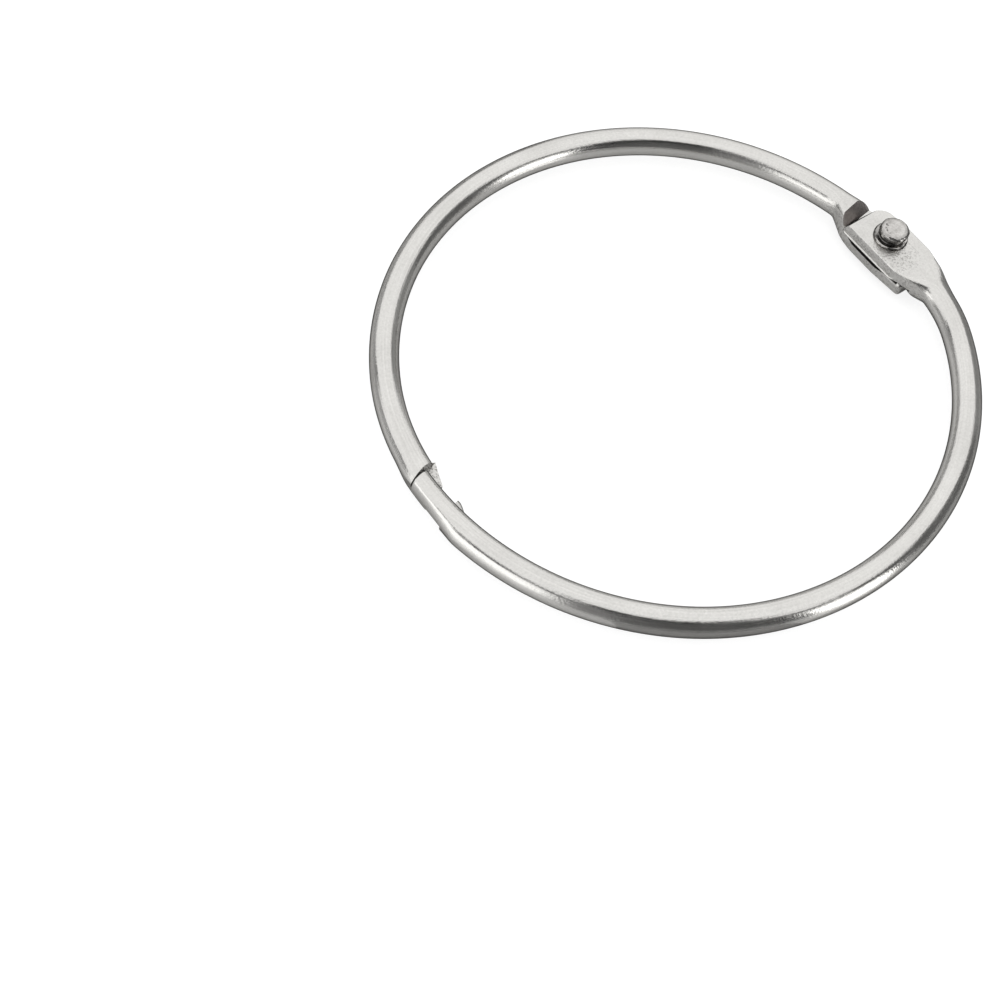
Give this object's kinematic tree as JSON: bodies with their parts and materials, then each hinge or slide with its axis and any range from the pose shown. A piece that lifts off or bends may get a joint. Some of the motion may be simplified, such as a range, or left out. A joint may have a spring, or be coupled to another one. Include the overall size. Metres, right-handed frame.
{
  "type": "shower curtain ring",
  "caption": "Hinged snap ring bent from round wire, which opens at a riveted hinge and snaps shut at lapped tongues to hang a curtain from a rod.",
  "frame": {"origin": "centre of the lower half's bend, on the wire's mid-plane, inside the ring", "axes": "+Z is normal to the ring, towards the rivet's flattened head; +Y points from the ring's centre to the hinge; the lower half is on -X and the upper half on +X"},
  "size_m": [0.0735, 0.0753, 0.0065],
  "materials": {
    "nickel": "bright satin nickel plate on steel wire",
    "rivet_nickel": "nickel plate, worn where the rivet was upset"
  },
  "bodies": {
    "lower": {"lower_half": "nickel", "hinge_rivet": "rivet_nickel"},
    "upper": {"upper_half": "nickel"}
  },
  "joints": [
    {"name": "ring_hinge", "type": "hinge", "parent": "lower", "child": "upper", "pos_m": [0, 0.03515, 0], "axis": [0, 0, 1], "range_deg": [0, 115]}
  ]
}
